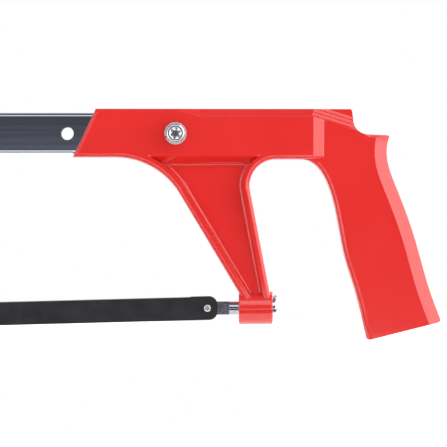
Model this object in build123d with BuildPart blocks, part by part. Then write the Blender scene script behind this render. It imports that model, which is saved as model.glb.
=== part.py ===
"""Pistol-grip hacksaw: cast handle, rectangular tube frame, tension rod and 12 inch blade.

+X points to the rear of the handle, +Z up, and the frame screw's head is on the -Y side.
The origin is at the middle of the saw's length, on its lowest level.
"""
import math
import os

from build123d import *

os.makedirs("parts", exist_ok=True)

# ---- driving dimensions, in mm ----
# Blade
BLADE_HOLES = 300.0          # centre distance of the two blade holes
BLADE_END = 7.5              # from the front hole's centre to the blade's front end
BLADE_NOSE = 5.4             # from the rear hole's centre to the blade's rear end
BLADE_CORNER = 4.6
BLADE_H = 12.7
BLADE_T = 0.65
BLADE_HOLE_R = 2.05
TOOTH_PITCH = 25.4 / 24
TOOTH_DEPTH = 0.55
TIP_SHARE = 0.75             # where a tooth's tip stands along its pitch
TOOTH_START = 9.0            # from a hole's centre to the first tooth
BLADE_TILT = 1.5             # degrees; the blade rises towards the handle

# Levels and lengths, measured from the frame screw (x) and the tension rod's axis (z)
BEAM_Z = 93.0                # tube axis above the rod axis
REAR_PIN_X = 16.9
GRIP_LOW = 17.2              # lowest point of the grip below the rod axis
ARM_LOW = 22.0               # lowest point of the front arm below the rod axis
GRIP_REAR = 140.9            # rearmost point of the grip

# Frame tube
TUBE_H = 22.0
TUBE_W = 12.0
TUBE_WALL = 1.5
TUBE_CORNER = 2.2
TUBE_BEND_R = 35.0
TUBE_REAR = 9.0              # tube's rear end behind the frame screw
HOLE_PITCH = 57.7            # between the two length settings
TUBE_HOLE_R = 3.45
ARM_GAP = 13.0               # front pin to the arm's rear wall

# Handle half thicknesses
BOX_HALF = 10.4
GRIP_HALF = 8.4
FOOT_HALF = 7.0
WEB_HALF = 3.0
CHANNEL_CLEAR = 0.2
CHANNEL_END = 69.0
BORDER_R = 2.2               # rounding of the housing's and strut's borders
POCKET_FLOOR_R = 2.0
GRIP_CHAMFER = 6.5           # width of the chamfer along the grip's rear
GRIP_CHAMFER_DEPTH = 3.6
GRIP_FRONT_R = 3.0
RIM_BEVEL = 1.2              # width of the slope along the rims' inner edges
RIM_BEVEL_DEPTH = 0.4
TOP_EDGE = 1.6               # chamfer along the beam's top edges
BOSS_EDGE_R = 0.8

# Boss and tension line
BOSS_R = 8.8
BOSS_X0 = 33.6
BOSS_X1 = 51.7
ROD_R = 3.5
ROD_BACK_FLAT = 2.7          # distance of the flat that stops the rod turning
RUN_CLEAR = 0.05
BARREL_R = 5.0
BARREL_X0 = 43.0
SHOULDER_X = 42.0            # bore step in the boss
ROD_THREAD_X0 = 41.4
ROD_END_X = 49.6
THREAD_R = 3.0
WASHER_T = 0.8
NUT_HEAD_R = 7.0
NUT_HEAD_T = 1.8
HEX_KEY = 5.0
HEX_DEPTH = 3.5
NUT_HEAD_ROUND = 1.5
TENSION_WASHER_R = 6.4

# Frame screw, M6
SCREW_LEN = 30.0
SCREW_HEAD_R = 5.0
SCREW_HEAD_H = 6.0
SPRING_WASHER_R = 5.9
SPRING_WASHER_T = 1.6
SPRING_WASHER_GAP = 0.9
SPRING_WASHER_TURN = 200.0   # where its split stands round the screw
SCREW_HOLE_R = 3.3
PLAIN_WASHER_R = 6.0
PLAIN_WASHER_T = 1.6
NUT_AF = 10.0
NUT_H = 5.0
SCREW_SOCKET = 3.0
SCREW_HEAD_ROUND = 0.7
SOCKET_TURN = 20.0           # how far round the socket stands
THREAD_CHAMFER = 0.5
NUT_CHAMFER = 0.5
WASHER_HOLE_R = 3.2

# Pins and front stud
PIN_R = 2.0
PIN_OUT = 3.4                # pin's dome top in front of the blade's middle plane
PIN_DOME = 0.9
ROD_FLAT_X1 = 28.5           # end of the flat that the blade lies on
ROD_NOSE = 5.5               # rod's end beyond its pin
FLAT_MARGIN = 10.8           # the stud's flat in front of its pin
STUD_HEAD_R = 5.5
STUD_HEAD_T = 4.0
STUD_HEAD_ROUND = 1.2
SLEEVE_R = 4.4
SLEEVE_CHAMFER = 0.6
PLUG_CLEAR = 0.05
PLUG_CHAMFER = 0.5
CAP_EDGE_R = 0.6
CAP_T = 1.6
CAP_PLUG = 6.0

# ---- derived places ----
TILT = math.radians(BLADE_TILT)
FRONT_PIN_X = REAR_PIN_X - BLADE_HOLES * math.cos(TILT)
FRONT_PIN_Z = -BLADE_HOLES * math.sin(TILT)
ARM_REAR_X = FRONT_PIN_X - ARM_GAP
ARM_AXIS_X = ARM_REAR_X - TUBE_H / 2
ARM_FRONT_X = ARM_REAR_X - TUBE_H
STUD_FRONT_X = ARM_FRONT_X - STUD_HEAD_T
TUBE_LOW_Z = CAP_T - ARM_LOW

SCREW_X = -(STUD_FRONT_X + GRIP_REAR) / 2
ROD_Z = ARM_LOW


# ---- handle outline, measured from the frame screw and the rod axis ----
NOSE_TOP = (-42.5, 106.1)
NOSE_LOW = (-54.7, 80.3)
BEAM_TOP_Z = 106.0
BEAM_LOW_Z = 80.3
FRONT_ARC_START = (-32.2, BEAM_LOW_Z)
FRONT_ARC_R = 40.0
FRONT_ANGLE = 59.0           # slope of the strut's front edge
STRUT_FOOT_Z = 3.0           # the strut runs down into the boss
STRUT_FRONT_FOOT = (36.8, STRUT_FOOT_Z)
STRUT_REAR_FOOT = (51.2, STRUT_FOOT_Z)
OPENING_TOP_Z = 79.2
OPENING_CORNER = (36.5, OPENING_TOP_Z)
OPENING_R = 14.0
STEP_X0 = 73.3               # end of the raised housing
STEP_X1 = 79.7               # foot of its slope
RIM_FRONT = 4.2
RIM_REAR = 3.8
POCKET_LOW_Z = 5.0
POCKET_TOP_Z = 80.9
POCKET_FLOOR_Z = 77.3
TOP_SLOPE_Z = 101.9
SLOPE_STEPS = [(0, 0), (0.5, 1.2), (4.1, 3.4)]  # rise and depth of its two faces
TOP_SLOPE_X0 = -3.6          # the top slope runs out between these two places
TOP_SLOPE_X1 = 13.0

OPENING_TOP_RIGHT = (68.0, OPENING_TOP_Z)
OPENING_TURN = (69.7, 78.9)
GRIP_FRONT = [(75.1, 75.4), (81.1, 65.6), (85.0, 52.3), (90.1, 26.5), (95.7, 8.2), (100.4, -12.0)]
GRIP_FRONT_FOOT = (101.7, -GRIP_LOW)
GRIP_CORNER = 0.55           # what the rounded rear corner takes off the grip's length
GRIP_REAR_FOOT = (GRIP_REAR + GRIP_CORNER, -7.2)
GRIP_HEIGHT = 90.0           # only the grip's two long edges are longer
GRIP_OVERLAP = 6.0           # how far the grip reaches into the housing
GRIP_REAR_CURVE = [(135.0, 10.2), (127.3, 37.2), (117.2, 65.0), (112.4, 82.5)]
TANG_UNDER = (113.4, 90.0)
TANG_TIP = (113.9, 92.0)
TANG_TOP = (102.6, 92.5)
TANG_ARC_MID = (96.8, 94.9)
TANG_ARC_TOP = (94.6, 101.0)
BEAM_REAR_TOP = (93.8, BEAM_TOP_Z)
OUTLINE_CORNERS = [(GRIP_FRONT_FOOT, 2.0), (GRIP_REAR_FOOT, 1.6), (BEAM_REAR_TOP, 1.2), (TANG_TIP, 0.7)]
FIN_LINE = [(STEP_X0 - 1, 102.2), (97.0, 94.5), (103.5, 90.9), (120.0, 89.6)]  # foot of the steps to the fin
FIN_STEPS = [(0, 0), (0.8, 1.3), (2.2, 1.7), (2.8, 2.4), (4.2, 2.8), (4.8, 3.4), (6.2, 3.8)]
FIN_HEIGHT = 20.0
BEYOND = BOX_HALF + 5        # clear of the casting's sides
BEYOND_Z = BEAM_TOP_Z + 5    # clear of its top


def side_plane(y):
    """Plane seen from the -Y side, measured from the frame screw and the rod axis."""
    return Plane(origin=(SCREW_X, y, ROD_Z), x_dir=(1, 0, 0), z_dir=(0, -1, 0))


def across_plane(x, z=0.0):
    """Plane across the saw, centred at x and z, whose normal points to the rear."""
    return Plane(origin=(SCREW_X + x, 0, ROD_Z + z), x_dir=(0, 1, 0), z_dir=(1, 0, 0))


MID = side_plane(0)


def level_plane(x, z):
    """Horizontal plane centred at x, at level z."""
    return Plane(origin=(SCREW_X + x, 0, ROD_Z + z))


def blade_plane(y):
    """Side plane along the tilted blade, measured from its rear hole."""
    return Plane(origin=(SCREW_X + REAR_PIN_X, y, ROD_Z),
                 x_dir=(math.cos(TILT), 0, math.sin(TILT)), z_dir=(0, -1, 0))


def flatted_disc(radius, flat):
    """Disc with a flat on its +Y side, drawn for a plane across the saw."""
    with BuildSketch() as disc:
        Circle(radius)
        with Locations((flat + radius, 0)):
            Rectangle(2 * radius, 3 * radius, mode=Mode.SUBTRACT)
    return disc.sketch_local


def finish(piece, name):
    """Label a finished piece and write it."""
    piece.part.label = name
    export_step(piece.part, f"parts/{name}.step")


def near(shape, x, z):
    """Vertex of a side sketch nearest to a place."""
    return shape.vertices().sort_by_distance((x, z, 0))[0]


def wedge(points, x0, x1):
    """Prism along X from x0 to x1, on both sides, whose section has the given (y, z) points."""
    with BuildPart() as prism:
        with BuildSketch(across_plane(x0)):
            for side in (1, -1):
                with BuildLine():
                    Polyline(*[(side * y, z) for y, z in points], close=True)
                make_face()
        extrude(amount=x1 - x0)
    return prism.part


def upright_wedge(points, z0, z1):
    """Prism along Z from z0 to z1, on both sides, whose plan has the given (x, y) points."""
    with BuildPart() as prism:
        with BuildSketch(Plane(origin=(SCREW_X, 0, ROD_Z + z0))):
            for side in (1, -1):
                with BuildLine():
                    Polyline(*[(x, side * y) for x, y in points], close=True)
                make_face()
        extrude(amount=z1 - z0)
    return prism.part


def along_outline(part, wire, low_z, high_z):
    """Edges of the side faces' borders that follow an outline between two levels."""
    chosen = []
    for edge in part.edges():
        place = edge @ 0.5
        flat_place = (place.X, 0, place.Z)
        on_side = abs(place.Y) > WEB_HALF + 1 and abs((edge @ 0).Y - (edge @ 1).Y) < 5
        level = place.Z - ROD_Z
        if on_side and low_z < level < high_z and wire.distance_to(Vertex(*flat_place)) < 0.02:
            chosen.append(edge)
    return chosen


# ---- handle: housing and strut ----
with BuildPart() as housing:
    with BuildSketch(MID) as housing_outline:
        with BuildLine():
            front_arc = JernArc(FRONT_ARC_START, (1, 0), FRONT_ARC_R, -FRONT_ANGLE)
            Polyline(front_arc @ 1, STRUT_FRONT_FOOT, STRUT_REAR_FOOT, OPENING_CORNER)
            Polyline(OPENING_CORNER, (STEP_X1, OPENING_TOP_Z), (STEP_X1, BEAM_TOP_Z), NOSE_TOP)
            Polyline(NOSE_TOP, NOSE_LOW, FRONT_ARC_START)
        make_face()
        fillet(near(housing_outline, *OPENING_CORNER), OPENING_R)
    extrude(amount=BOX_HALF, both=True)
    foot_taper = [(BOX_HALF, BEAM_LOW_Z), (FOOT_HALF, 0), (BEYOND, 0), (BEYOND, BEAM_LOW_Z)]
    add(wedge(foot_taper, NOSE_LOW[0], STEP_X1), mode=Mode.SUBTRACT)
    rear_slope = [(STEP_X0, BOX_HALF), (STEP_X1, GRIP_HALF), (STEP_X1 + 1, BEYOND), (STEP_X0, BEYOND)]
    add(upright_wedge(rear_slope, 0, BEAM_TOP_Z + 1), mode=Mode.SUBTRACT)
    border = housing_outline.sketch.face().outer_wire()
    fillet(along_outline(housing.part, border, 10, BEAM_TOP_Z - 0.5), BORDER_R)

# the slope along the beam's top runs out towards the front
slope_faces = [(BOX_HALF - depth, TOP_SLOPE_Z + rise) for rise, depth in SLOPE_STEPS]
slope_inner_y = slope_faces[-1][0]
top_slope = [(BEYOND, TOP_SLOPE_Z), *slope_faces, (slope_inner_y, BEYOND_Z), (BEYOND, BEYOND_Z)]
top_edge = [
    (BOX_HALF - 1.5 * TOP_EDGE, BEAM_TOP_Z + TOP_EDGE / 2),
    (BOX_HALF + TOP_EDGE / 2, BEAM_TOP_Z - 1.5 * TOP_EDGE),
    (BOX_HALF + TOP_EDGE / 2, BEAM_TOP_Z + TOP_EDGE / 2),
]
run_out = []
for side in (1, -1):
    with BuildPart() as taper:
        with BuildSketch(across_plane(TOP_SLOPE_X1)):
            with BuildLine():
                Polyline(*[(side * y, z) for y, z in top_slope], close=True)
            make_face()
        loft(sections=[taper.pending_faces[0],
                       Vertex(SCREW_X + TOP_SLOPE_X0, side * BOX_HALF, ROD_Z + BEAM_TOP_Z)])
    run_out.append(taper.part)

# pocket between the strut's two rims, down to the web
with BuildPart() as pocket:
    with BuildSketch(side_plane(-WEB_HALF)) as pocket_outline:
        with BuildLine():
            rise = math.tan(math.radians(FRONT_ANGLE))
            lean = (STRUT_REAR_FOOT[0] - OPENING_CORNER[0]) / (STRUT_REAR_FOOT[1] - OPENING_TOP_Z)
            arc_in = JernArc((FRONT_ARC_START[0], BEAM_LOW_Z + RIM_FRONT), (1, 0),
                             FRONT_ARC_R + RIM_FRONT, -FRONT_ANGLE)
            low_front = ((arc_in @ 1).X + ((arc_in @ 1).Y - POCKET_LOW_Z) / rise, POCKET_LOW_Z)
            shift = RIM_REAR * math.hypot(1, lean)
            rear_rim_x = STRUT_REAR_FOOT[0] + (POCKET_LOW_Z - STRUT_FOOT_Z) * lean
            low_rear = (rear_rim_x - shift, POCKET_LOW_Z)
            corner_z = OPENING_TOP_Z + RIM_REAR
            top_rear = (OPENING_CORNER[0] + RIM_REAR * lean - shift, corner_z)
            Polyline(arc_in @ 1, low_front, low_rear, top_rear, (STEP_X0, corner_z))
            Polyline((STEP_X0, corner_z), (STEP_X0, BEAM_TOP_Z), (FRONT_ARC_START[0], BEAM_TOP_Z), arc_in @ 0)
        make_face()
        fillet(near(pocket_outline, *top_rear), OPENING_R + RIM_REAR)
        with Locations((0, POCKET_TOP_Z + BEAM_TOP_Z)):
            Rectangle(4 * STEP_X0, 2 * BEAM_TOP_Z, mode=Mode.SUBTRACT)
    extrude(amount=BOX_HALF)
    roof_rise = (POCKET_TOP_Z - POCKET_FLOOR_Z) / (BOX_HALF - WEB_HALF)
    roof = [(0, POCKET_FLOOR_Z - WEB_HALF * roof_rise), (BEYOND, POCKET_TOP_Z + 5 * roof_rise),
            (BEYOND, BEAM_TOP_Z), (0, BEAM_TOP_Z)]
    add(wedge(roof, FRONT_ARC_START[0] - 5, STEP_X0), mode=Mode.SUBTRACT)
    fillet(pocket.faces().sort_by(Axis.Y)[-1].edges(), POCKET_FLOOR_R)

# slopes along the inner edges of the two rims, up to the level where the pocket's roof begins
rim_plane = Plane(origin=(SCREW_X, -FOOT_HALF, ROD_Z), x_dir=(1, 0, 0),
                  z_dir=(0, -BEAM_LOW_Z, FOOT_HALF - BOX_HALF))
front_rim_r = FRONT_ARC_R + RIM_FRONT
front_rim_drop = BEAM_LOW_Z + RIM_FRONT - POCKET_TOP_Z
front_rim_end = math.degrees(math.acos(1 - front_rim_drop / front_rim_r))
rear_rim_r = OPENING_R + RIM_REAR
rear_rim_turn = 90 - math.degrees(math.atan(lean))
rear_rim_back = rear_rim_r * math.tan(math.radians(rear_rim_turn / 2)) / math.hypot(1, lean)
rear_rim_start = (top_rear[0] - rear_rim_back * lean, top_rear[1] - rear_rim_back)
rear_rim_level = (POCKET_TOP_Z - corner_z + rear_rim_r) / rear_rim_r
rear_rim_end = rear_rim_turn - math.degrees(math.acos(rear_rim_level))
front_rim_corner = ((arc_in @ 1).X, (arc_in @ 1).Y)
with BuildLine(rim_plane) as front_rim:
    Line(low_front, front_rim_corner)
    JernArc(front_rim_corner, (-1, rise), front_rim_r, FRONT_ANGLE - front_rim_end)
with BuildLine(rim_plane) as rear_rim:
    Line(low_rear, rear_rim_start)
    JernArc(rear_rim_start, (lean, 1), rear_rim_r, -rear_rim_end)
rim_bevels = []
for rim_side, rim in ((1, front_rim), (-1, rear_rim)):
    with BuildPart() as rim_bevel:
        with BuildSketch(Plane(origin=rim.line @ 0, x_dir=rim_plane.z_dir, z_dir=rim.line % 0)):
            with BuildLine():
                low, high = -RIM_BEVEL_DEPTH, RIM_BEVEL_DEPTH
                Polyline((low, 0), (high, rim_side * 2 * RIM_BEVEL), (high, -rim_side), (low, -rim_side),
                         close=True)
            make_face()
        sweep(path=rim.wire(), transition=Transition.RIGHT)
    rim_bevels.append(rim_bevel.part)

# ---- handle: grip ----
with BuildPart() as grip:
    with BuildSketch(MID) as grip_outline:
        with BuildLine():
            Line(OPENING_TOP_RIGHT, OPENING_TURN)
            Spline(OPENING_TURN, *GRIP_FRONT, GRIP_FRONT_FOOT)
            Line(GRIP_FRONT_FOOT, GRIP_REAR_FOOT)
            Spline(GRIP_REAR_FOOT, *GRIP_REAR_CURVE, TANG_UNDER, tangents=((-0.4, 1), (0.4, 1)))
            Polyline(TANG_UNDER, TANG_TIP, TANG_TOP)
            ThreePointArc(TANG_TOP, TANG_ARC_MID, TANG_ARC_TOP)
            overlap_x = STEP_X0 - GRIP_OVERLAP
            Polyline(TANG_ARC_TOP, BEAM_REAR_TOP, (overlap_x, BEAM_TOP_Z))
            Polyline((overlap_x, BEAM_TOP_Z), (overlap_x, OPENING_TOP_Z), OPENING_TOP_RIGHT)
        make_face()
    extrude(amount=GRIP_HALF, both=True)
    for side in (0, -1):
        face = grip.faces().filter_by(Axis.Y).sort_by(Axis.Y)[side]
        long_edges = face.edges().filter_by(lambda edge: edge.length > GRIP_HEIGHT).sort_by(Axis.X)
        chamfer(long_edges[-1], length=GRIP_CHAMFER, length2=GRIP_CHAMFER_DEPTH, reference=face)
        face = grip.faces().filter_by(Axis.Y).sort_by(Axis.Y)[side]
        long_edges = face.edges().filter_by(lambda edge: edge.length > GRIP_HEIGHT).sort_by(Axis.X)
        fillet(long_edges[0], GRIP_FRONT_R)
    # rounded corners of the outline
    with BuildSketch(MID) as rounded:
        add(grip_outline.sketch_local)
        for place, radius in OUTLINE_CORNERS:
            fillet(near(rounded, *place), radius)
    extrude(amount=GRIP_HALF + 1, both=True, mode=Mode.INTERSECT)

# steps down to the thinner fin at the beam's rear end, and along the tang's top
with BuildPart() as fin_step:
    with BuildLine(MID) as fin_path:
        Polyline(*FIN_LINE)
    with BuildSketch(Plane(origin=fin_path.line @ 0, x_dir=(0, 1, 0), z_dir=fin_path.line % 0)):
        for side in (1, -1):
            with BuildLine():
                steps = [(side * (GRIP_HALF - depth), rise) for rise, depth in FIN_STEPS]
                top_corners = [(steps[-1][0], FIN_HEIGHT), (side * BEYOND, FIN_HEIGHT)]
                Polyline((side * BEYOND, 0), *steps, *top_corners, close=True)
            make_face()
    sweep(path=fin_path.wire(), transition=Transition.RIGHT)

# boss for the tension rod
with BuildPart() as boss:
    with BuildSketch(across_plane(BOSS_X0)):
        Circle(BOSS_R)
    extrude(amount=BOSS_X1 - BOSS_X0)
    fillet(boss.edges().filter_by(GeomType.CIRCLE), BOSS_EDGE_R)

# ---- handle: the finished casting ----
with BuildPart() as handle_casting:
    add(housing.part)
    add(wedge(top_edge, NOSE_LOW[0], TOP_SLOPE_X1), mode=Mode.SUBTRACT)
    add(run_out, mode=Mode.SUBTRACT)
    add(pocket.part, mode=Mode.SUBTRACT)
    add(mirror(pocket.part, about=Plane.XZ, mode=Mode.PRIVATE), mode=Mode.SUBTRACT)
    for rim_bevel in rim_bevels:
        add(rim_bevel, mode=Mode.SUBTRACT)
        add(mirror(rim_bevel, about=Plane.XZ, mode=Mode.PRIVATE), mode=Mode.SUBTRACT)
    add(grip.part)
    add(wedge(top_slope, TOP_SLOPE_X1, STEP_X0), mode=Mode.SUBTRACT)
    add(fin_step.part, mode=Mode.SUBTRACT)
    add(boss.part)
    # channel for the tube, open at the nose
    with BuildSketch(across_plane(CHANNEL_END, BEAM_Z)):
        RectangleRounded(TUBE_W + 2 * CHANNEL_CLEAR, TUBE_H + 2 * CHANNEL_CLEAR, TUBE_CORNER)
    extrude(amount=NOSE_LOW[0] - 1 - CHANNEL_END, mode=Mode.SUBTRACT)
    # hole for the frame screw
    with BuildSketch(MID):
        with Locations((0, BEAM_Z)):
            Circle(SCREW_HOLE_R)
    extrude(amount=BEYOND, both=True, mode=Mode.SUBTRACT)
    # bore for the rod, with a flat, and a wider one for the nut's barrel
    with BuildSketch(across_plane(BOSS_X0)):
        add(flatted_disc(ROD_R + RUN_CLEAR, ROD_BACK_FLAT + RUN_CLEAR))
    extrude(amount=SHOULDER_X - BOSS_X0, mode=Mode.SUBTRACT)
    with BuildSketch(across_plane(SHOULDER_X)):
        Circle(BARREL_R + RUN_CLEAR)
    extrude(amount=BOSS_X1 - SHOULDER_X, mode=Mode.SUBTRACT)
finish(handle_casting, "handle_casting")

# ---- frame tube ----
with BuildPart() as frame_tube:
    with BuildLine(MID) as tube_path:
        Line((TUBE_REAR, BEAM_Z), (ARM_AXIS_X + TUBE_BEND_R, BEAM_Z))
        JernArc((ARM_AXIS_X + TUBE_BEND_R, BEAM_Z), (-1, 0), TUBE_BEND_R, 90)
        Line((ARM_AXIS_X, BEAM_Z - TUBE_BEND_R), (ARM_AXIS_X, TUBE_LOW_Z))
    with BuildSketch(across_plane(TUBE_REAR, BEAM_Z)):
        RectangleRounded(TUBE_W, TUBE_H, TUBE_CORNER)
        RectangleRounded(TUBE_W - 2 * TUBE_WALL, TUBE_H - 2 * TUBE_WALL, TUBE_CORNER - TUBE_WALL,
                         mode=Mode.SUBTRACT)
    sweep(path=tube_path.wire())
    with BuildSketch(MID):
        with Locations((0, BEAM_Z), (-HOLE_PITCH, BEAM_Z)):
            Circle(TUBE_HOLE_R)
    extrude(amount=TUBE_W, both=True, mode=Mode.SUBTRACT)
    with BuildSketch(across_plane(ARM_FRONT_X - 1, FRONT_PIN_Z)):
        Circle(ROD_R + RUN_CLEAR)
    extrude(amount=TUBE_H + 2, mode=Mode.SUBTRACT)
finish(frame_tube, "frame_tube")

# ---- plug that closes the front arm ----
with BuildPart() as front_end_cap:
    with BuildSketch(level_plane(ARM_AXIS_X, -ARM_LOW)):
        RectangleRounded(TUBE_H, TUBE_W, TUBE_CORNER)
    extrude(amount=CAP_T)
    fillet(front_end_cap.edges().group_by(Axis.Z)[0], CAP_EDGE_R)
    with BuildSketch(level_plane(ARM_AXIS_X, TUBE_LOW_Z)):
        inside = TUBE_WALL + PLUG_CLEAR
        RectangleRounded(TUBE_H - 2 * inside, TUBE_W - 2 * inside, TUBE_CORNER - TUBE_WALL)
    extrude(amount=CAP_PLUG)
    chamfer(front_end_cap.edges().group_by(Axis.Z)[-1], PLUG_CHAMFER)
finish(front_end_cap, "front_end_cap")

# ---- frame screw, its washers and its nut ----
screw_seat_y = -BOX_HALF - SPRING_WASHER_T
nut_seat_y = BOX_HALF + PLAIN_WASHER_T
with BuildPart() as nut_round:
    with BuildSketch(side_plane(nut_seat_y)):
        with Locations((0, BEAM_Z)):
            Circle(NUT_AF / 2 / math.cos(math.pi / 6))
    extrude(amount=-NUT_H)
    chamfer(nut_round.edges().filter_by(GeomType.CIRCLE), NUT_CHAMFER)
with BuildPart() as frame_screw:
    with BuildSketch(side_plane(screw_seat_y)):
        with Locations((0, BEAM_Z)):
            Circle(SCREW_HEAD_R)
    extrude(amount=SCREW_HEAD_H)
    fillet(frame_screw.edges().group_by(Axis.Y)[0], SCREW_HEAD_ROUND)
    with BuildSketch(side_plane(screw_seat_y)):
        with Locations((0, BEAM_Z)):
            Circle(THREAD_R)
    extrude(amount=-SCREW_LEN)
    chamfer(frame_screw.edges().group_by(Axis.Y)[-1], THREAD_CHAMFER)
    with BuildSketch(side_plane(screw_seat_y - SCREW_HEAD_H)):
        with Locations((0, BEAM_Z)):
            RegularPolygon(HEX_KEY / 2, 6, major_radius=False, rotation=SOCKET_TURN)
    extrude(amount=-SCREW_SOCKET, mode=Mode.SUBTRACT)
finish(frame_screw, "frame_screw")

with BuildPart() as frame_lock_washer:
    with BuildSketch(side_plane(-BOX_HALF)):
        with Locations((0, BEAM_Z)):
            Circle(SPRING_WASHER_R)
            Circle(WASHER_HOLE_R, mode=Mode.SUBTRACT)
            with PolarLocations(SPRING_WASHER_R, 1, start_angle=SPRING_WASHER_TURN):
                Rectangle(2 * SPRING_WASHER_R - 2 * THREAD_R, SPRING_WASHER_GAP, mode=Mode.SUBTRACT)
    extrude(amount=SPRING_WASHER_T)
finish(frame_lock_washer, "frame_lock_washer")

with BuildPart() as frame_plain_washer:
    with BuildSketch(side_plane(BOX_HALF + PLAIN_WASHER_T)):
        with Locations((0, BEAM_Z)):
            Circle(PLAIN_WASHER_R)
            Circle(WASHER_HOLE_R, mode=Mode.SUBTRACT)
    extrude(amount=PLAIN_WASHER_T)
finish(frame_plain_washer, "frame_plain_washer")

with BuildPart() as frame_nut:
    with BuildSketch(side_plane(nut_seat_y)):
        with Locations((0, BEAM_Z)):
            RegularPolygon(NUT_AF / 2, 6, major_radius=False)
    extrude(amount=-NUT_H)
    add(nut_round.part, mode=Mode.INTERSECT)
    with BuildSketch(side_plane(nut_seat_y)):
        with Locations((0, BEAM_Z)):
            Circle(THREAD_R + RUN_CLEAR)
    extrude(amount=-NUT_H, mode=Mode.SUBTRACT)
finish(frame_nut, "frame_nut")

# ---- blade line: rod, front stud, their pins and the blade ----
with BuildPart() as tension_rod:
    with BuildSketch(across_plane(REAR_PIN_X - ROD_NOSE)):
        Circle(ROD_R)
    extrude(amount=ROD_THREAD_X0 - REAR_PIN_X + ROD_NOSE)
    with BuildSketch(across_plane(ROD_THREAD_X0)):
        Circle(THREAD_R)
    extrude(amount=ROD_END_X - ROD_THREAD_X0)
    chamfer(tension_rod.edges().group_by(Axis.X)[-1], THREAD_CHAMFER)
    with BuildSketch(side_plane(ROD_BACK_FLAT)):
        with Locations((ROD_END_X / 2, 0)):
            Rectangle(2 * ROD_END_X, 3 * ROD_R)
    extrude(amount=-ROD_R, mode=Mode.SUBTRACT)
    with BuildSketch(side_plane(BLADE_T / 2)):
        with Locations((ROD_FLAT_X1 - TUBE_H, 0)):
            Rectangle(2 * TUBE_H, 3 * ROD_R)
    extrude(amount=2 * ROD_R, mode=Mode.SUBTRACT)
    with BuildSketch(MID):
        with Locations((REAR_PIN_X, 0)):
            Circle(PIN_R)
    extrude(amount=TUBE_W, both=True, mode=Mode.SUBTRACT)
finish(tension_rod, "tension_rod")

with BuildPart() as front_stud:
    with BuildSketch(across_plane(ARM_FRONT_X, FRONT_PIN_Z)):
        add(flatted_disc(ROD_R, ROD_BACK_FLAT))
    extrude(amount=FRONT_PIN_X + ROD_NOSE - ARM_FRONT_X)
    with BuildSketch(across_plane(STUD_FRONT_X, FRONT_PIN_Z)):
        Circle(STUD_HEAD_R)
    extrude(amount=STUD_HEAD_T)
    fillet(front_stud.edges().group_by(Axis.X)[0], STUD_HEAD_ROUND)
    with BuildSketch(side_plane(BLADE_T / 2)):
        with Locations((FRONT_PIN_X - FLAT_MARGIN + TUBE_H, FRONT_PIN_Z)):
            Rectangle(2 * TUBE_H, 3 * ROD_R)
    extrude(amount=2 * ROD_R, mode=Mode.SUBTRACT)
    with BuildSketch(MID):
        with Locations((FRONT_PIN_X, FRONT_PIN_Z)):
            Circle(PIN_R)
    extrude(amount=TUBE_W, both=True, mode=Mode.SUBTRACT)
finish(front_stud, "front_stud")

pin_places = {"rear_blade_pin": (REAR_PIN_X, 0), "front_blade_pin": (FRONT_PIN_X, FRONT_PIN_Z)}
for pin_name, pin_place in pin_places.items():
    with BuildPart() as blade_pin:
        with BuildSketch(side_plane(ROD_BACK_FLAT)):
            with Locations(pin_place):
                Circle(PIN_R)
        extrude(amount=ROD_BACK_FLAT + PIN_OUT)
        fillet(blade_pin.edges().group_by(Axis.Y)[0], PIN_DOME)
    finish(blade_pin, pin_name)

with BuildPart() as front_sleeve:
    with BuildSketch(across_plane(ARM_FRONT_X + TUBE_WALL, FRONT_PIN_Z)):
        Circle(SLEEVE_R)
        add(flatted_disc(ROD_R + RUN_CLEAR, ROD_BACK_FLAT + RUN_CLEAR), mode=Mode.SUBTRACT)
    extrude(amount=TUBE_H - 2 * TUBE_WALL)
    circles = front_sleeve.edges().filter_by(GeomType.CIRCLE)
    chamfer(circles.filter_by(lambda edge: edge.radius > ROD_R + 2 * RUN_CLEAR), SLEEVE_CHAMFER)
finish(front_sleeve, "front_sleeve")

with BuildPart() as blade:
    with BuildSketch(blade_plane(BLADE_T / 2)):
        with BuildLine():
            top = BLADE_H / 2
            teeth_start = -TOOTH_START
            count = int((BLADE_HOLES - 2 * TOOTH_START) / TOOTH_PITCH)
            points = [(BLADE_NOSE, top), (teeth_start, top), (teeth_start, top - TOOTH_DEPTH)]
            for tooth in range(count):
                root = teeth_start - tooth * TOOTH_PITCH
                points.append((root - TIP_SHARE * TOOTH_PITCH, top))
                points.append((root - TOOTH_PITCH, top - TOOTH_DEPTH))
            points.append((points[-1][0], top))
            points += [(-BLADE_HOLES - BLADE_END, top), (-BLADE_HOLES - BLADE_END, -top)]
            points.append((BLADE_NOSE, -top))
            Polyline(*points, close=True)
        make_face()
        with Locations((0, 0), (-BLADE_HOLES, 0)):
            Circle(BLADE_HOLE_R, mode=Mode.SUBTRACT)
    extrude(amount=BLADE_T)
    corners = blade.edges().filter_by(Axis.Y).filter_by(GeomType.LINE).sort_by(Axis.X)
    fillet(corners[:2] + corners[-2:], BLADE_CORNER)
finish(blade, "blade")

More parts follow.
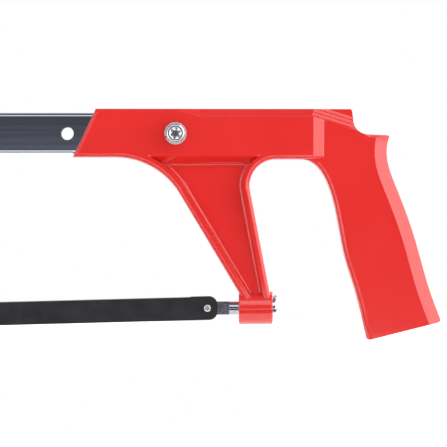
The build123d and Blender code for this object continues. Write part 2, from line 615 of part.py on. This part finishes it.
# ---- nut and washer at the rear of the boss ----
head_x = BOSS_X1 + WASHER_T
with BuildPart() as tension_nut:
    with BuildSketch(across_plane(head_x)):
        Circle(NUT_HEAD_R)
    extrude(amount=NUT_HEAD_T)
    fillet(tension_nut.edges().group_by(Axis.X)[-1], NUT_HEAD_ROUND)
    with BuildSketch(across_plane(BARREL_X0)):
        Circle(BARREL_R)
    extrude(amount=head_x - BARREL_X0)
    with BuildSketch(across_plane(BARREL_X0)):
        Circle(THREAD_R + RUN_CLEAR)
    extrude(amount=head_x + NUT_HEAD_T - HEX_DEPTH - BARREL_X0, mode=Mode.SUBTRACT)
    with BuildSketch(across_plane(head_x + NUT_HEAD_T - HEX_DEPTH)):
        RegularPolygon(HEX_KEY / 2, 6, major_radius=False)
    extrude(amount=HEX_DEPTH, mode=Mode.SUBTRACT)
finish(tension_nut, "tension_nut")

with BuildPart() as tension_washer:
    with BuildSketch(across_plane(BOSS_X1)):
        Circle(TENSION_WASHER_R)
        Circle(BARREL_R + RUN_CLEAR, mode=Mode.SUBTRACT)
    extrude(amount=WASHER_T)
finish(tension_washer, "tension_washer")
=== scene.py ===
import math

import bpy
import bmesh
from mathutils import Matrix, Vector, geometry

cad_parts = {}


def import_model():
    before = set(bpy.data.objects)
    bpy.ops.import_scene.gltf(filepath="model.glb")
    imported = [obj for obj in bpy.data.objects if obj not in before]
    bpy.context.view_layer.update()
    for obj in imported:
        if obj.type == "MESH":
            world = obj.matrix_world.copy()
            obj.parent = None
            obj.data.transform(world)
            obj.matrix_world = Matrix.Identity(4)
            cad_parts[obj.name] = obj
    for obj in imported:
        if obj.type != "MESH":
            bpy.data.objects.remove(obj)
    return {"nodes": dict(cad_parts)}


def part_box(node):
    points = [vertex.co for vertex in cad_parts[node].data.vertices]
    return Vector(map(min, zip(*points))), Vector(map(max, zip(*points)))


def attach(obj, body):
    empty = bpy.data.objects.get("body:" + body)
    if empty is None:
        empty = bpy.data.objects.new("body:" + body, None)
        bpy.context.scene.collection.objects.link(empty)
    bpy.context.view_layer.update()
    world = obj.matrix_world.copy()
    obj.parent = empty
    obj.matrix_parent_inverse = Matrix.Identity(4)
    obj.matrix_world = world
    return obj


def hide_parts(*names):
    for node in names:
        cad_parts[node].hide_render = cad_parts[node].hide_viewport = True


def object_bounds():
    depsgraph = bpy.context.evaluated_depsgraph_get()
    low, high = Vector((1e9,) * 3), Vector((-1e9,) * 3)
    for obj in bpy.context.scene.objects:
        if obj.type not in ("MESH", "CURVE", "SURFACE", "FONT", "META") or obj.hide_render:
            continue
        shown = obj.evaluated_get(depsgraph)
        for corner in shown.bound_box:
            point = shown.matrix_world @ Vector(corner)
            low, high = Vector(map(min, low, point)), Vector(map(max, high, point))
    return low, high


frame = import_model()
CAD_BOX = [list(corner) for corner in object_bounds()]
NODES = frame["nodes"]

# Lengths are in metres. The camera looks along +Y, with the handle to the right, at +X.

# ---- the photograph's view ----
VIEW_WIDTH = 0.2385                    # what the picture spans at the saw's middle plane
VIEW_CENTRE_X = 0.0255                 # right of the frame screw
VIEW_CENTRE_Z = 0.0451                 # above the tension rod
CAMERA_DISTANCE = 2.4
SENSOR_WIDTH = 36.0                    # millimetres
CLIP_END = 20.0

# ---- the floor ----
FLOOR_REACH = 0.7                      # to both sides and behind
FLOOR_FRONT = -0.35
FLOOR_GAP = 0.0005                     # below the saw
FLOOR_PALE = (0.93, 0.93, 0.93, 1)
FLOOR_GLOW = 0.1                       # the floor's own light, as it reaches the saw
FLOOR_SEEN = 0.6                       # the same, as the camera sees it
FLOOR_SHINE = 0.6                      # added to the glow in mirrored rays
# a strip of the floor in front of the saw that is dark in mirrored rays, and only there
CARD_REAR = -0.030
CARD_FRONT = -0.130
CARD_FADE = 0.008
CARD_DARK = (0.02, 0.02, 0.02, 1)

# ---- the surroundings' light, by the direction of the ray that meets it ----
SIDES = (0.68, 0.68, 0.69, 1)
TOP = (0.18, 0.18, 0.20, 1)
BACK = (0.65, 0.65, 0.69, 1)
RIGHT = (2.4, 2.4, 2.4, 1)
RING = (2.1, 2.1, 2.1, 1)              # round the camera, level with it and below
RING_TOP = (0.85, 0.85, 0.88, 1)       # round the camera, above it
RING_HIGH = (1.7, 1.7, 1.72, 1)        # higher still
FRONT = (0.105, 0.108, 0.130, 1)       # at the camera
SEEN_WHITE = (1.0, 1.0, 1.0, 1)        # all of it, as the camera sees it
# each light takes over as one component of the direction goes from the first number to the second
TOP_BAND_Z = (0.35, 0.75)
RING_TOP_BAND_Z = (0.05, 0.30)
RING_HIGH_BAND_Z = (0.36, 0.46)
BACK_BAND_Y = (0.15, 0.45)
RIGHT_BAND_X = (0.40, 0.56)
RING_BAND_Y = (-0.56, -0.64)
FRONT_BAND_Y = (-0.87, -0.94)

# ---- the frame tube ----
TUBE_BEND_OUT = 0.046                  # outer radius of its bend
SHADE_FROM = 0.020                     # painted shade: it darkens outwards, from this far inside its outer edge
SHADE_TO = 0.003                       # to this far inside it

# ---- the frame screw; along its axis, places are measured from the top of its head ----
SCREW_STEPS = 144                      # round its axis
HEAD_HEIGHT = 0.006
HEAD_ROUND = 0.0012
ROUND_STEPS = 6                        # over the head's rounded edge
HEAD_UNDER = 0.0001                    # what the side loses under the knurls
HEAD_UNDER_LENGTH = 0.0003
HEAD_SEAT = 0.0004                     # what it has lost at the seat
KNURLS = 36
KNURL_DEPTH = 0.00012
KNURL_START = 0.0002                   # below the rounded edge
KNURL_END = 0.0005                     # above the seat
SOCKET_FLATS = 0.005
SOCKET_TURN = math.radians(20)
SOCKET_DEPTH = 0.003
DRILL_R = 0.0021                       # the drilled hollow at the bottom of the socket
DRILL_DEPTH = 0.0031
DRILL_TIP_R = 0.0006
DRILL_TIP_DEPTH = 0.0034
LIP_R = 0.0028                         # the chamfer round the socket's mouth
LIP_WIDTH = 0.0002
LIP_DEPTH = 0.00012
LIP_FOOT = 0.00035
FACE_R = 0.0033                        # where the head's flat face starts
THREAD_R = 0.003
THREAD_PITCH = 0.001
THREAD_DEPTH = 0.00055
THREAD_STEPS = 8                       # along one pitch
THREAD_RUNOUT = 0.0022                 # over which the thread gets its full depth
THREAD_END = 0.0006                    # before the tip
POINT_LENGTH = 0.0003
POINT_STEP = 0.0009                    # what the tip is smaller than the thread

# ---- the blade; in its own plane, u runs from the rear hole to the front one and v up ----
BLADE_HALF_HEIGHT = 0.00635
BLADE_HALF_THICKNESS = 0.000325
BLADE_CORNER = 0.0046
CORNER_STEPS = 12
BLADE_REAR_END = 0.0054                # past the rear hole
BLADE_FRONT_END = 0.0075               # past the front hole
BLADE_HOLE_R = 0.00205
HOLE_STEPS = 40
HOLE_SHARE = 0.98                      # of its radius, inside which a face lies in the hole
TOOTH_PITCH = 0.0254 / 24
TOOTH_DEPTH = 0.00055
TOOTH_START = 0.009                    # from each hole
TOOTH_SLOPE = 0.25                     # the steep side of a tooth, as a share of the pitch
SET_WAVE = 0.00022                     # how far the teeth lean out
SET_LENGTH = 0.0085
SET_HEIGHT = 0.0022                    # from the teeth's tips down to where they bend
MERGE_DISTANCE = 1e-7

# ---- edges ----
EDGE_ANGLE = 28                        # degrees; sharper edges of the CAD pieces are rounded
SMOOTH_ANGLE = 32                      # degrees; sharper edges of the new pieces stay sharp
ROUND_EDGES = {                        # width, and segments over the edge
    "handle_casting": (0.0007, 3),
    "frame_tube": (0.0002, 3),
    "frame_lock_washer": (0.0008, 5),
    "frame_plain_washer": (0.00025, 3),
    "frame_nut": (0.0002, 3),
    "tension_nut": (0.0002, 3),
    "tension_washer": (0.0002, 3),
    "tension_rod": (0.00015, 3),
    "front_stud": (0.0002, 3),
    "front_end_cap": (0.0002, 3),
    "rear_blade_pin": (0.0001, 3),
    "front_blade_pin": (0.0001, 3),
}


def centre_of(name):
    """The middle of a CAD piece's box."""
    return [sum(pair) / 2 for pair in zip(*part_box(name))]


# ---- node helpers ----
def new_material(name):
    """A material with nothing but its shader: the material, its node tree and the shader."""
    material = bpy.data.materials.new(name)
    material.use_nodes = True
    tree = material.node_tree
    tree.nodes.clear()
    output = tree.nodes.new("ShaderNodeOutputMaterial")
    shader = tree.nodes.new("ShaderNodeBsdfPrincipled")
    tree.links.new(shader.outputs["BSDF"], output.inputs["Surface"])
    return material, tree, shader


def add_node(tree, kind, inputs=(), **settings):
    """A node with its settings, and its inputs set to values or linked to sockets."""
    node = tree.nodes.new("ShaderNode" + kind)
    for key, value in settings.items():
        setattr(node, key, value)
    for key, value in dict(inputs).items():
        if isinstance(value, bpy.types.NodeSocket):
            tree.links.new(value, node.inputs[key])
        else:
            node.inputs[key].default_value = value
    return node


def math_node(tree, operation, first, second):
    return add_node(tree, "Math", {0: first, 1: second}, operation=operation).outputs[0]


def object_coords(tree, scale=(1, 1, 1)):
    """Object coordinates, stretched by a scale."""
    coords = add_node(tree, "TexCoord")
    mapping = add_node(tree, "Mapping", {"Vector": coords.outputs["Object"], "Scale": scale})
    return mapping.outputs["Vector"]


def noise(tree, vector, scale, detail=3.0):
    return add_node(tree, "TexNoise", {"Vector": vector, "Scale": scale, "Detail": detail,
                                       "Roughness": 0.55}).outputs["Fac"]


def to_range(tree, value, low, high, from_low=0.3, from_high=0.7):
    """Low to high as a value goes from one number to another; a noise is mostly from 0.3 to 0.7."""
    return add_node(tree, "MapRange", {"Value": value, "From Min": from_low, "From Max": from_high,
                                       "To Min": low, "To Max": high}).outputs["Result"]


def direction_band(tree, component, low, high):
    """0 to 1 as one component of a direction goes from low to high, smoothly."""
    return add_node(tree, "MapRange", {"Value": component, "From Min": low, "From Max": high},
                    interpolation_type="SMOOTHSTEP").outputs["Result"]


def blend_colours(tree, factor, first, second, mode="MIX"):
    node = add_node(tree, "Mix", data_type="RGBA", blend_type=mode)
    for index, value in ((0, factor), (6, first), (7, second)):
        if isinstance(value, bpy.types.NodeSocket):
            tree.links.new(value, node.inputs[index])
        else:
            node.inputs[index].default_value = value
    return node.outputs[2]


def mottle(tree, pattern, first, second):
    """Two colours, blended by a noise."""
    return blend_colours(tree, to_range(tree, pattern, 0.0, 1.0), first, second)


def surface(tree, shader, colour, roughness):
    """Links a colour and a roughness to the shader."""
    tree.links.new(colour, shader.inputs["Base Color"])
    tree.links.new(roughness, shader.inputs["Roughness"])


def bump(tree, shader, height, strength, distance):
    node = add_node(tree, "Bump", {"Height": height, "Strength": strength, "Distance": distance})
    tree.links.new(node.outputs["Normal"], shader.inputs["Normal"])


# ---- materials; the scales of the noises are in cells per metre ----
def red_paint():
    """Glossy red powder paint on a casting, with a faint orange peel."""
    patch_scale, gloss_scale, peel_scale = 18.0, 60.0, 420.0
    material, tree, shader = new_material("red_paint")
    coords = object_coords(tree)
    surface(tree, shader,
            mottle(tree, noise(tree, coords, patch_scale),
                   (0.830, 0.023, 0.018, 1), (0.870, 0.028, 0.022, 1)),
            to_range(tree, noise(tree, coords, gloss_scale), 0.20, 0.27))
    shader.inputs["Coat Weight"].default_value = 1.0
    shader.inputs["Coat Roughness"].default_value = 0.06
    bump(tree, shader, noise(tree, coords, peel_scale, 2.0), 0.06, 0.0004)
    return material


def plated_tube():
    """Bright plated steel with painted shade, darker outwards, and fine lines drawn along the tube
    and round its bend.

    The lines follow x - z, which runs along both of its straight parts, and the distance from the
    axis of its bend.
    """
    line_scale = (6, 900, 900)
    material, tree, shader = new_material("plated_tube")
    low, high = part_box("frame_tube")
    coords = add_node(tree, "TexCoord")
    axes = add_node(tree, "SeparateXYZ", {"Vector": coords.outputs["Object"]}).outputs
    before = math_node(tree, "SUBTRACT", low[0] + TUBE_BEND_OUT, axes["X"])
    above = math_node(tree, "SUBTRACT", axes["Z"], high[2] - TUBE_BEND_OUT)
    corner = add_node(tree, "CombineXYZ", {"X": math_node(tree, "MAXIMUM", before, 0.0),
                                           "Y": math_node(tree, "MAXIMUM", above, 0.0)})
    distance = add_node(tree, "VectorMath", {0: corner.outputs[0]}, operation="LENGTH")
    across = distance.outputs["Value"]
    along = math_node(tree, "SUBTRACT", axes["X"], axes["Z"])
    drawn = add_node(tree, "CombineXYZ", {"X": along, "Y": axes["Y"], "Z": across})
    stretched = add_node(tree, "Mapping", {"Vector": drawn.outputs[0], "Scale": line_scale})
    lines = noise(tree, stretched.outputs["Vector"], 1.0, 4.0)
    colour = mottle(tree, lines, (0.68, 0.70, 0.78, 1), (0.86, 0.88, 0.95, 1))
    # painted shade: the side of the bend darkens towards its outer edge
    darker = blend_colours(tree, 1.0, colour, (0.60, 0.60, 0.62, 1), "MULTIPLY")
    outward = to_range(tree, across, 0.0, 1.0, TUBE_BEND_OUT - SHADE_FROM, TUBE_BEND_OUT - SHADE_TO)
    surface(tree, shader, blend_colours(tree, outward, colour, darker),
            to_range(tree, lines, 0.09, 0.15))
    shader.inputs["Metallic"].default_value = 1.0
    bump(tree, shader, lines, 0.02, 0.0001)
    return material


def bright_steel(name, colour, smoothest, roughest):
    """Plated or machined steel with fine scratches."""
    scratch_scale, darkest = 700.0, 0.82
    material, tree, shader = new_material(name)
    coords = object_coords(tree)
    scratches = noise(tree, coords, scratch_scale)
    darker = tuple(darkest * part for part in colour)
    surface(tree, shader,
            mottle(tree, scratches, darker + (1,), colour + (1,)),
            to_range(tree, noise(tree, coords, scratch_scale / 3), smoothest, roughest))
    shader.inputs["Metallic"].default_value = 1.0
    bump(tree, shader, scratches, 0.05, 0.0002)
    return material


def blade_steel():
    """Dark lacquered blade with fine grinding lines along it."""
    line_scale, patch_scale = (40, 40, 700), 90.0
    material, tree, shader = new_material("blade_steel")
    lines = noise(tree, object_coords(tree, line_scale), 1.0)
    surface(tree, shader,
            mottle(tree, noise(tree, object_coords(tree), patch_scale),
                   (0.017, 0.017, 0.021, 1), (0.032, 0.032, 0.037, 1)),
            to_range(tree, lines, 0.38, 0.52))
    shader.inputs["Metallic"].default_value = 0.35
    bump(tree, shader, lines, 0.15, 0.0002)
    return material


def black_plastic():
    """Moulded plastic with a fine grain."""
    patch_scale, gloss_scale, grain_scale = 200.0, 120.0, 1200.0
    material, tree, shader = new_material("black_plastic")
    coords = object_coords(tree)
    surface(tree, shader,
            mottle(tree, noise(tree, coords, patch_scale),
                   (0.018, 0.018, 0.019, 1), (0.032, 0.032, 0.034, 1)),
            to_range(tree, noise(tree, coords, gloss_scale), 0.42, 0.55))
    bump(tree, shader, noise(tree, coords, grain_scale, 2.0), 0.25, 0.0003)
    return material


def assign(material, *names):
    for name in names:
        mesh = NODES[name].data
        mesh.materials.clear()
        mesh.materials.append(material)


# ---- new pieces ----
def new_piece(name, vertices, faces, material, body):
    """A smooth-shaded mesh that rides on a body."""
    mesh = bpy.data.meshes.new(name)
    mesh.from_pydata([tuple(v) for v in vertices], [], faces)
    mesh.validate()
    form = bmesh.new()
    form.from_mesh(mesh)
    bmesh.ops.recalc_face_normals(form, faces=form.faces)
    form.to_mesh(mesh)
    form.free()
    mesh.materials.append(material)
    mesh.shade_smooth()
    mesh.set_sharp_from_angle(angle=math.radians(SMOOTH_ANGLE))
    piece = bpy.data.objects.new(name, mesh)
    bpy.context.scene.collection.objects.link(piece)
    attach(piece, body)
    return piece


def turned(rings, steps, place):
    """Vertices and faces of a closed form through rings, from the first centre to the last.

    A ring is a radius for each angle, and a level.
    """
    vertices = [place(0.0, 0.0, rings[0][1])]
    for radius_at, level in rings:
        for step in range(steps):
            angle = 2 * math.pi * step / steps
            vertices.append(place(radius_at(angle), angle, level))
    vertices.append(place(0.0, 0.0, rings[-1][1]))
    last = len(vertices) - 1
    faces = [(0, 1 + step, 1 + (step + 1) % steps) for step in range(steps)]
    for ring in range(len(rings) - 1):
        start = 1 + ring * steps
        for step in range(steps):
            turn = (step + 1) % steps
            faces.append((start + step, start + turn, start + steps + turn, start + steps + step))
    start = 1 + (len(rings) - 1) * steps
    faces += [(start + (step + 1) % steps, start + step, last) for step in range(steps)]
    return vertices, faces


def round_at(radius):
    return lambda angle: radius


def hex_at(across_flats, turn):
    def radius(angle):
        part = (angle - turn) % (math.pi / 3) - math.pi / 6
        return across_flats / 2 / math.cos(part)
    return radius


def head_rings(head_r, top, seat):
    """From the bottom of the socket, over the head's knurled side and in under it to the thread."""
    socket = hex_at(SOCKET_FLATS, SOCKET_TURN)

    def lip(angle):
        return max(socket(angle), LIP_R) + LIP_WIDTH

    def knurled(angle):
        return head_r - KNURL_DEPTH * (0.5 + 0.5 * math.cos(KNURLS * angle))

    rings = [(round_at(DRILL_TIP_R), top + DRILL_TIP_DEPTH), (round_at(DRILL_R), top + DRILL_DEPTH),
             (socket, top + SOCKET_DEPTH), (socket, top + LIP_FOOT), (lip, top + LIP_DEPTH),
             (round_at(FACE_R), top)]
    for bend in range(ROUND_STEPS + 1):
        turn = math.pi / 2 * bend / ROUND_STEPS
        rings.append((round_at(head_r - HEAD_ROUND * (1 - math.sin(turn))),
                      top + HEAD_ROUND * (1 - math.cos(turn))))
    rings += [(knurled, top + HEAD_ROUND + KNURL_START), (knurled, seat - KNURL_END),
              (round_at(head_r - HEAD_UNDER), seat - HEAD_UNDER_LENGTH),
              (round_at(head_r - HEAD_SEAT), seat), (round_at(THREAD_R), seat)]
    return rings


def thread_rings(seat, tip):
    """Along the cut thread, which grows to its full depth, and over the point."""
    def threaded(level, depth):
        def radius(angle):
            phase = (level / THREAD_PITCH + angle / (2 * math.pi)) % 1.0
            return THREAD_R - depth * (1 - abs(2 * phase - 1))
        return radius

    rings = []
    rise = THREAD_PITCH / THREAD_STEPS
    level = seat + rise
    while level < tip - THREAD_END:
        fade = min(1.0, (level - seat) / THREAD_RUNOUT)
        rings.append((threaded(level, THREAD_DEPTH * fade), level))
        level += rise
    rings += [(round_at(THREAD_R - THREAD_DEPTH), tip - POINT_LENGTH),
              (round_at(THREAD_R - POINT_STEP), tip)]
    return rings


def screw_piece(material):
    """Socket cap screw with a rounded, knurled head, a hexagon socket and a cut thread."""
    low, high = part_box("frame_screw")
    centre_x, _, centre_z = centre_of("frame_screw")
    head_r = (high[0] - low[0]) / 2
    top, tip = low[1], high[1]
    seat = top + HEAD_HEIGHT

    def place(radius, angle, level):
        return (centre_x + radius * math.cos(angle), level, centre_z + radius * math.sin(angle))

    rings = head_rings(head_r, top, seat) + thread_rings(seat, tip)
    vertices, faces = turned(rings, SCREW_STEPS, place)
    piece = new_piece("frame_screw_detail", vertices, faces, material, "frame_screw")
    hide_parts("frame_screw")


def arc(centre, radius, start, sweep, steps):
    """Points along an arc, with both its ends."""
    angles = [start + sweep * step / steps for step in range(steps + 1)]
    return [Vector((centre[0] + radius * math.cos(angle), centre[1] + radius * math.sin(angle)))
            for angle in angles]


def blade_outline(holes, teeth_end, teeth):
    """The blade's outline, from the lower corner of its rear end towards the front one."""
    middle = BLADE_HALF_HEIGHT - BLADE_CORNER
    rear, front = BLADE_CORNER - BLADE_REAR_END, holes + BLADE_FRONT_END - BLADE_CORNER
    quarter = math.pi / 2
    outline = []
    for centre, start in (((rear, -middle), -math.pi), ((front, -middle), -quarter),
                          ((front, middle), 0.0)):
        outline += arc(centre, BLADE_CORNER, start, quarter, CORNER_STEPS)
    upper = [(teeth_end, BLADE_HALF_HEIGHT)]
    for tooth in range(teeth):
        root = teeth_end - tooth * TOOTH_PITCH
        upper += [(root, BLADE_HALF_HEIGHT - TOOTH_DEPTH),
                  (root - TOOTH_SLOPE * TOOTH_PITCH, BLADE_HALF_HEIGHT)]
    upper += [(TOOTH_START, BLADE_HALF_HEIGHT - TOOTH_DEPTH), (TOOTH_START, BLADE_HALF_HEIGHT)]
    outline += [Vector(point) for point in upper]
    return outline + arc((rear, middle), BLADE_CORNER, quarter, quarter, CORNER_STEPS)


def add_line(points, edges, line, closed=True):
    """A line's points and edges, added to those of a flat form."""
    start, count = len(points), len(line)
    points.extend(line)
    edges.extend((start + step, start + (step + 1) % count)
                 for step in range(count if closed else count - 1))


def inside(face, flat, outline, holes):
    """True for a face of the filled outline that is in the blade and not in one of its holes."""
    centre = sum((flat[index] for index in face), Vector((0, 0))) / len(face)
    from_hole = min(centre.length, (centre - Vector((holes, 0))).length)
    if from_hole < BLADE_HOLE_R * HOLE_SHARE:
        return False
    crossings = 0
    for first, second in zip(outline, outline[1:] + outline[:1]):
        if (first.y > centre.y) != (second.y > centre.y):
            across = first.x + (centre.y - first.y) * (second.x - first.x) / (second.y - first.y)
            crossings += across > centre.x
    return crossings % 2 == 1


def two_sided(flat, flat_faces, lift):
    """Both sides of a flat form, and a wall along each edge that only one of its faces has."""
    other_side = len(flat)
    vertices = [lift(point, -1) for point in flat] + [lift(point, 1) for point in flat]
    faces = [tuple(face) for face in flat_faces]
    faces += [tuple(other_side + index for index in reversed(face)) for face in flat_faces]
    uses = {}
    for face in flat_faces:
        for pair in zip(face, face[1:] + face[:1]):
            uses.setdefault(frozenset(pair), []).append(pair)
    for pairs in uses.values():
        if len(pairs) == 1:
            first, second = pairs[0]
            faces.append((second, first, other_side + first, other_side + second))
    return vertices, faces


def blade_piece(material):
    """Blade between its two pins, with its teeth set in a wave to both sides."""
    rear, front = centre_of("rear_blade_pin"), centre_of("front_blade_pin")
    along = Vector((front[0] - rear[0], front[2] - rear[2]))
    holes = along.length
    along.normalize()
    up = Vector((along.y, -along.x))
    teeth = int((holes - 2 * TOOTH_START) / TOOTH_PITCH)
    teeth_end = TOOTH_START + teeth * TOOTH_PITCH
    bend_v = BLADE_HALF_HEIGHT - SET_HEIGHT

    outline = blade_outline(holes, teeth_end, teeth)
    points, edges = [], []
    add_line(points, edges, outline)
    for hole in (0.0, holes):
        add_line(points, edges, arc((hole, 0.0), BLADE_HOLE_R, 0.0, 2 * math.pi, HOLE_STEPS)[:-1])
    bend_line = [Vector((TOOTH_START + tooth * TOOTH_PITCH, bend_v)) for tooth in range(teeth + 1)]
    add_line(points, edges, bend_line, closed=False)
    flat, _, flat_faces = geometry.delaunay_2d_cdt(points, edges, [], 0, MERGE_DISTANCE)[:3]
    flat_faces = [face for face in flat_faces if inside(face, flat, outline, holes)]

    def lift(point, side):
        share = max(0.0, min(1.0, (point[1] - bend_v) / (SET_HEIGHT - TOOTH_DEPTH)))
        if not TOOTH_START < point[0] < teeth_end:
            share = 0.0
        bend = SET_WAVE * share * math.sin(2 * math.pi * point[0] / SET_LENGTH)
        place = Vector((rear[0], rear[2])) + along * point[0] + up * point[1]
        return (place.x, side * BLADE_HALF_THICKNESS + bend, place.y)

    vertices, faces = two_sided(flat, flat_faces, lift)
    piece = new_piece("blade_detail", vertices, faces, material, "blade")
    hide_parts("blade")


# ---- rounded edges and smooth shading on the CAD pieces ----
def soften(name, width, segments):
    """Rounds a CAD piece's sharp edges, and shades its flat faces flat."""
    piece = NODES[name]
    for polygon in piece.data.polygons:
        polygon.use_smooth = True
    bevel = piece.modifiers.new("round_edges", "BEVEL")
    bevel.width = width
    bevel.segments = segments
    bevel.limit_method = "ANGLE"
    bevel.angle_limit = math.radians(EDGE_ANGLE)
    bevel.harden_normals = True
    weighted = piece.modifiers.new("face_normals", "WEIGHTED_NORMAL")
    weighted.keep_sharp = True


# ---- floor, light and camera ----
def floor_material():
    """Pale floor that looks white to the camera, lights the saw less, and holds the dark strip."""
    material, tree, shader = new_material("pale_floor")
    shader.inputs["Roughness"].default_value = 0.7
    shader.inputs["Specular IOR Level"].default_value = 0.2
    shader.inputs["Emission Color"].default_value = (1, 1, 1, 1)
    paths = add_node(tree, "LightPath")
    mirrored = paths.outputs["Is Glossy Ray"]
    coords = add_node(tree, "TexCoord")
    depth = add_node(tree, "SeparateXYZ", {"Vector": coords.outputs["Object"]}).outputs["Y"]
    past_rear = to_range(tree, depth, 0.0, 1.0, CARD_REAR, CARD_REAR - CARD_FADE)
    past_front = to_range(tree, depth, 1.0, 0.0, CARD_FRONT, CARD_FRONT - CARD_FADE)
    card = math_node(tree, "MULTIPLY", past_rear, past_front)
    dark = math_node(tree, "MULTIPLY", card, mirrored)
    tree.links.new(blend_colours(tree, dark, FLOOR_PALE, CARD_DARK), shader.inputs["Base Color"])
    # mirrored rays see more light than the glow, except on the strip, where the glow is taken off
    shine = to_range(tree, card, FLOOR_SHINE, -FLOOR_GLOW, 0.0, 1.0)
    extra = math_node(tree, "MULTIPLY", shine, mirrored)
    glow = to_range(tree, paths.outputs["Is Camera Ray"], FLOOR_GLOW, FLOOR_SEEN, 0.0, 1.0)
    tree.links.new(math_node(tree, "ADD", glow, extra), shader.inputs["Emission Strength"])
    return material


def studio():
    """The floor, and the view transform."""
    mesh = bpy.data.meshes.new("floor")
    mesh.from_pydata([(-FLOOR_REACH, FLOOR_FRONT, 0), (FLOOR_REACH, FLOOR_FRONT, 0),
                      (FLOOR_REACH, FLOOR_REACH, 0), (-FLOOR_REACH, FLOOR_REACH, 0)],
                     [], [(0, 1, 2, 3)])
    mesh.materials.append(floor_material())
    floor = bpy.data.objects.new("floor", mesh)
    bpy.context.scene.collection.objects.link(floor)
    floor.location.z = CAD_BOX[0][2] - FLOOR_GAP
    view = bpy.context.scene.view_settings
    view.view_transform = "Standard"
    view.look = "None"


def world():
    """Light by direction: a bright ring round a dim patch at the camera, and bright to the right.

    It is dim above, and even at the sides and behind. The camera sees plain white instead.
    """
    surroundings = bpy.data.worlds.new("studio")
    bpy.context.scene.world = surroundings
    surroundings.use_nodes = True
    tree = surroundings.node_tree
    tree.nodes.clear()
    output = tree.nodes.new("ShaderNodeOutputWorld")
    coords = add_node(tree, "TexCoord")
    axes = add_node(tree, "SeparateXYZ", {"Vector": coords.outputs["Generated"]})
    x, y, z = (axes.outputs[name] for name in "XYZ")
    ring = blend_colours(tree, direction_band(tree, z, *RING_TOP_BAND_Z), RING, RING_TOP)
    ring = blend_colours(tree, direction_band(tree, z, *RING_HIGH_BAND_Z), ring, RING_HIGH)
    light = blend_colours(tree, direction_band(tree, z, *TOP_BAND_Z), SIDES, TOP)
    # each of these covers what comes before it
    for component, band, colour in ((y, BACK_BAND_Y, BACK), (x, RIGHT_BAND_X, RIGHT),
                                    (y, RING_BAND_Y, ring), (y, FRONT_BAND_Y, FRONT)):
        light = blend_colours(tree, direction_band(tree, component, *band), light, colour)
    paths = add_node(tree, "LightPath")
    seen = blend_colours(tree, paths.outputs["Is Camera Ray"], light, SEEN_WHITE)
    background = add_node(tree, "Background", {"Color": seen, "Strength": 1.0})
    tree.links.new(background.outputs[0], output.inputs["Surface"])


def camera():
    lens = bpy.data.cameras.new("camera")
    lens.sensor_width = SENSOR_WIDTH
    lens.lens = SENSOR_WIDTH * CAMERA_DISTANCE / VIEW_WIDTH
    lens.clip_end = CLIP_END
    holder = bpy.data.objects.new("camera", lens)
    bpy.context.scene.collection.objects.link(holder)
    holder.location = (centre_of("frame_screw")[0] + VIEW_CENTRE_X, -CAMERA_DISTANCE,
                       centre_of("tension_rod")[2] + VIEW_CENTRE_Z)
    holder.rotation_euler = (math.radians(90), 0, 0)
    bpy.context.scene.camera = holder


# ---- the saw ----
plated = bright_steel("plated_steel", (0.80, 0.81, 0.84), 0.11, 0.18)
blade_surface = blade_steel()
assign(red_paint(), "handle_casting")
assign(plated_tube(), "frame_tube")
assign(plated, "frame_screw", "frame_nut", "tension_nut")
assign(bright_steel("plated_rod", (0.48, 0.47, 0.53), 0.10, 0.16), "tension_rod", "front_stud")
assign(bright_steel("dull_plate", (0.84, 0.82, 0.84), 0.40, 0.50),
       "frame_lock_washer", "frame_plain_washer")
assign(bright_steel("machined_steel", (0.80, 0.80, 0.82), 0.18, 0.30),
       "tension_washer", "rear_blade_pin", "front_blade_pin", "front_sleeve")
assign(blade_surface, "blade")
assign(black_plastic(), "front_end_cap")
screw_piece(plated)
blade_piece(blade_surface)
for node_name, (edge_width, edge_segments) in ROUND_EDGES.items():
    soften(node_name, edge_width, edge_segments)

studio()
world()
camera()
